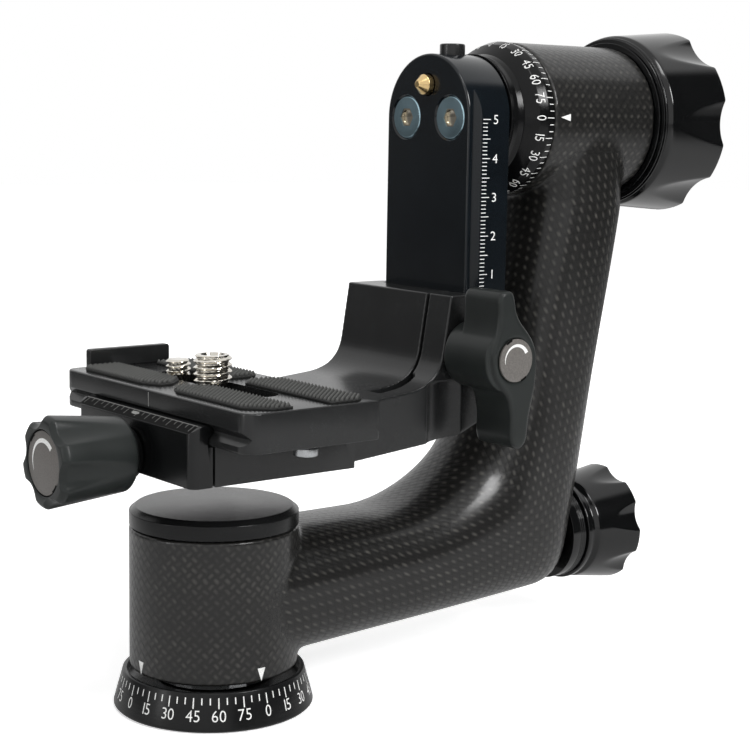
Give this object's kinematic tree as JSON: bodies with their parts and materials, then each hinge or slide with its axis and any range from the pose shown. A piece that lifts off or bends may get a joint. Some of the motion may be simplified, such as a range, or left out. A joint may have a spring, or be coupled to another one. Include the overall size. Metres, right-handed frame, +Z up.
{
  "type": "gimbal tripod head",
  "caption": "One-armed gimbal head for a long lens: carbon arm on a graduated pan base, swinging dovetail rail, sliding L bracket and quick-release clamp with plate.",
  "frame": {"origin": "centre of the base's underside, on the pan axis, at the mouth of the tripod thread", "axes": "+Z up along the pan axis; +X along the tilt axis, from the rail towards the tilt knob; -Y is the side of the rail's scale and the height lever"},
  "size_m": [0.2031, 0.0838, 0.1711],
  "materials": {
    "anodised_black": "satin black anodised",
    "anodised_gloss": "glossy black anodised",
    "charcoal": "satin charcoal anodised",
    "carbon": "woven carbon fibre under clear coat",
    "steel": "turned",
    "zinc": "zinc plated",
    "brass": "turned",
    "nickel": "nickel plated",
    "rubber": "matt, pyramid pattern",
    "label": "satin grey"
  },
  "bodies": {
    "base": {"base_ring": "anodised_black", "tripod_bush": "steel", "pan_spindle": "steel", "spindle_nut": "steel", "base_screw_1": "zinc", "base_screw_2": "zinc", "base_screw_3": "zinc"},
    "arm": {"carbon_arm": "carbon", "base_cap": "anodised_black", "pan_liner": "steel", "pan_bearing_lower": "steel", "pan_bearing_upper": "steel", "pan_sleeve": "anodised_black", "tilt_liner": "steel", "tilt_bearing_front": "steel", "tilt_bearing_rear": "steel"},
    "pan_lock_rod": {"pan_push_rod": "steel", "pan_brake_shoe": "brass"},
    "pan_lock_knob": {"pan_knob": "anodised_gloss", "pan_knob_stud": "steel"},
    "cradle": {"tilt_shaft": "anodised_black", "tilt_dial": "anodised_black", "rail": "anodised_black", "rail_screw_right": "zinc", "rail_screw_left": "zinc"},
    "tilt_lock_ring": {"tilt_end_ring": "anodised_black"},
    "tilt_lock_knob": {"tilt_knob": "anodised_gloss", "tilt_knob_insert": "steel"},
    "stop_pin": {"safety_pin": "brass"},
    "stop_button": {"safety_button": "anodised_black"},
    "bracket": {"l_bracket": "anodised_black", "clamp_body": "anodised_black", "clamp_screw_near": "zinc", "clamp_screw_far": "zinc", "jaw_pin_near": "steel", "jaw_pin_far": "steel"},
    "lever": {"height_lever": "charcoal", "lever_disc": "label", "lever_bolt": "steel", "lever_washer": "steel"},
    "jaw": {"clamp_jaw": "anodised_black", "clamp_washer": "anodised_black"},
    "jaw_knob": {"clamp_knob": "charcoal", "clamp_knob_disc": "label", "clamp_knob_stud": "steel"},
    "slide_plate": {"quick_plate": "anodised_black", "pad_1": "rubber", "pad_2": "rubber", "pad_3": "rubber", "pad_4": "rubber", "twist_lug": "anodised_black", "stop_screw_near": "steel", "stop_screw_far": "steel"},
    "large_slider": {"camera_washer_large": "steel"},
    "large_screw": {"camera_screw_large": "nickel"},
    "small_slider": {"camera_washer_small": "steel"},
    "small_screw": {"camera_screw_small": "nickel"}
  },
  "joints": [
    {"name": "pan", "type": "hinge", "parent": "base", "child": "arm", "pos_m": [0, 0, 0], "axis": [0, 0, 1], "continuous": true},
    {"name": "tilt", "type": "hinge", "parent": "arm", "child": "cradle", "pos_m": [0.1, 0, 0.1454], "axis": [1, 0, 0], "continuous": true},
    {"name": "pan_knob_turn", "type": "hinge", "parent": "pan_lock_rod", "child": "pan_lock_knob", "pos_m": [0.125, 0, 0.028], "axis": [1, 0, 0], "range_deg": [0, 240]},
    {"name": "pan_rod_slide", "type": "slide", "parent": "arm", "child": "pan_lock_rod", "axis": [1, 0, 0], "range_m": [0, 0.001]},
    {"name": "tilt_knob_turn", "type": "hinge", "parent": "tilt_lock_ring", "child": "tilt_lock_knob", "pos_m": [0.14, 0, 0.1454], "axis": [1, 0, 0], "range_deg": [0, 240]},
    {"name": "tilt_ring_slide", "type": "slide", "parent": "cradle", "child": "tilt_lock_ring", "axis": [1, 0, 0], "range_m": [0, 0.001]},
    {"name": "safety_button_press", "type": "slide", "parent": "cradle", "child": "stop_button", "axis": [0, 0, -1], "range_m": [0, 0.0026], "stiffness_N_per_m": 300, "springref_m": -0.003},
    {"name": "safety_pin_draw", "type": "slide", "parent": "cradle", "child": "stop_pin", "axis": [1, 0, 0], "range_m": [0, 0.00392]},
    {"name": "height", "type": "slide", "parent": "cradle", "child": "bracket", "axis": [0, 0, 1], "range_m": [-0.003, 0.05]},
    {"name": "height_lever_turn", "type": "hinge", "parent": "bracket", "child": "lever", "pos_m": [0.0625, -0.03, 0.086], "axis": [0, -1, 0], "range_deg": [-10, 110]},
    {"name": "clamp_knob_turn", "type": "hinge", "parent": "jaw", "child": "jaw_knob", "pos_m": [-0.03, 0, 0.0655], "axis": [-1, 0, 0], "range_deg": [0, 1440]},
    {"name": "jaw_slide", "type": "slide", "parent": "bracket", "child": "jaw", "axis": [-1, 0, 0], "range_m": [0, 0.004]},
    {"name": "plate_slide", "type": "slide", "parent": "bracket", "child": "slide_plate", "axis": [0, 1, 0], "range_m": [-0.0085, 0.0085]},
    {"name": "large_screw_slide", "type": "slide", "parent": "slide_plate", "child": "large_slider", "axis": [0, 1, 0], "range_m": [-0.018, 0.001]},
    {"name": "large_screw_turn", "type": "hinge", "parent": "large_slider", "child": "large_screw", "pos_m": [0, 0.0009, 0.08], "axis": [0, 0, 1], "continuous": true},
    {"name": "small_screw_slide", "type": "slide", "parent": "slide_plate", "child": "small_slider", "axis": [0, 1, 0], "range_m": [-0.001, 0.003]},
    {"name": "small_screw_turn", "type": "hinge", "parent": "small_slider", "child": "small_screw", "pos_m": [0, 0.0168, 0.08], "axis": [0, 0, 1], "continuous": true}
  ],
  "couplings": [
    {"joint": "pan_knob_turn", "follows": "pan_rod_slide", "rad_per_m": 4188.8},
    {"joint": "tilt_knob_turn", "follows": "tilt_ring_slide", "rad_per_m": 4188.8},
    {"joint": "safety_pin_draw", "follows": "safety_button_press", "ratio": 1.5},
    {"joint": "clamp_knob_turn", "follows": "jaw_slide", "rad_per_m": 6283.2}
  ]
}
